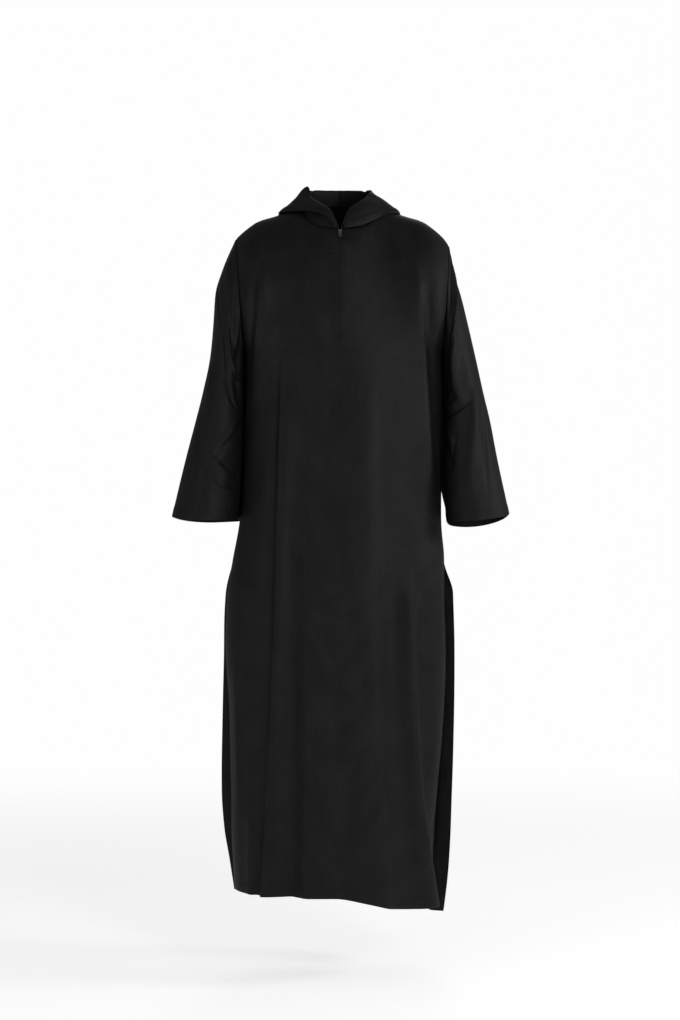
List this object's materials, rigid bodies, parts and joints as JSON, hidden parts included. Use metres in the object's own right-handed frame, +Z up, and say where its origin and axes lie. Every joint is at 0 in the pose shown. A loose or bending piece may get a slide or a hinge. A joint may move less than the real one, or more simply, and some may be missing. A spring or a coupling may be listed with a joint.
{
  "type": "djellaba robe",
  "caption": "Long hooded robe with wide sleeves, a short front zip and side slits, hollow as when worn.",
  "frame": {"origin": "base of the neck, midway between the shoulder seams, where the wearer's shoulders hold the robe", "axes": "+Z up, -Y towards the front and the zip, +X towards the wearer's left sleeve"},
  "size_m": [0.6905, 0.3238, 1.4947],
  "materials": {
    "cloth": "satin twill weave, soft sheen",
    "zip_tape": "woven tape, matt",
    "zip_slider": "nickel plated, slightly worn",
    "zip_pull": "gunmetal plated"
  },
  "bodies": {
    "robe": {"front": "cloth", "back": "cloth", "sleeve_right": "cloth", "sleeve_left": "cloth", "hood_right": "cloth", "hood_left": "cloth", "zip_tape": "zip_tape", "zip_slider": "zip_slider"},
    "zip_pull": {"zip_pull": "zip_pull"}
  },
  "joints": [
    {"name": "zip_pull_swing", "type": "hinge", "parent": "robe", "child": "zip_pull", "pos_m": [0, -0.1131, -0.04797], "axis": [-1, 0, 0], "range_deg": [0, 150]}
  ]
}
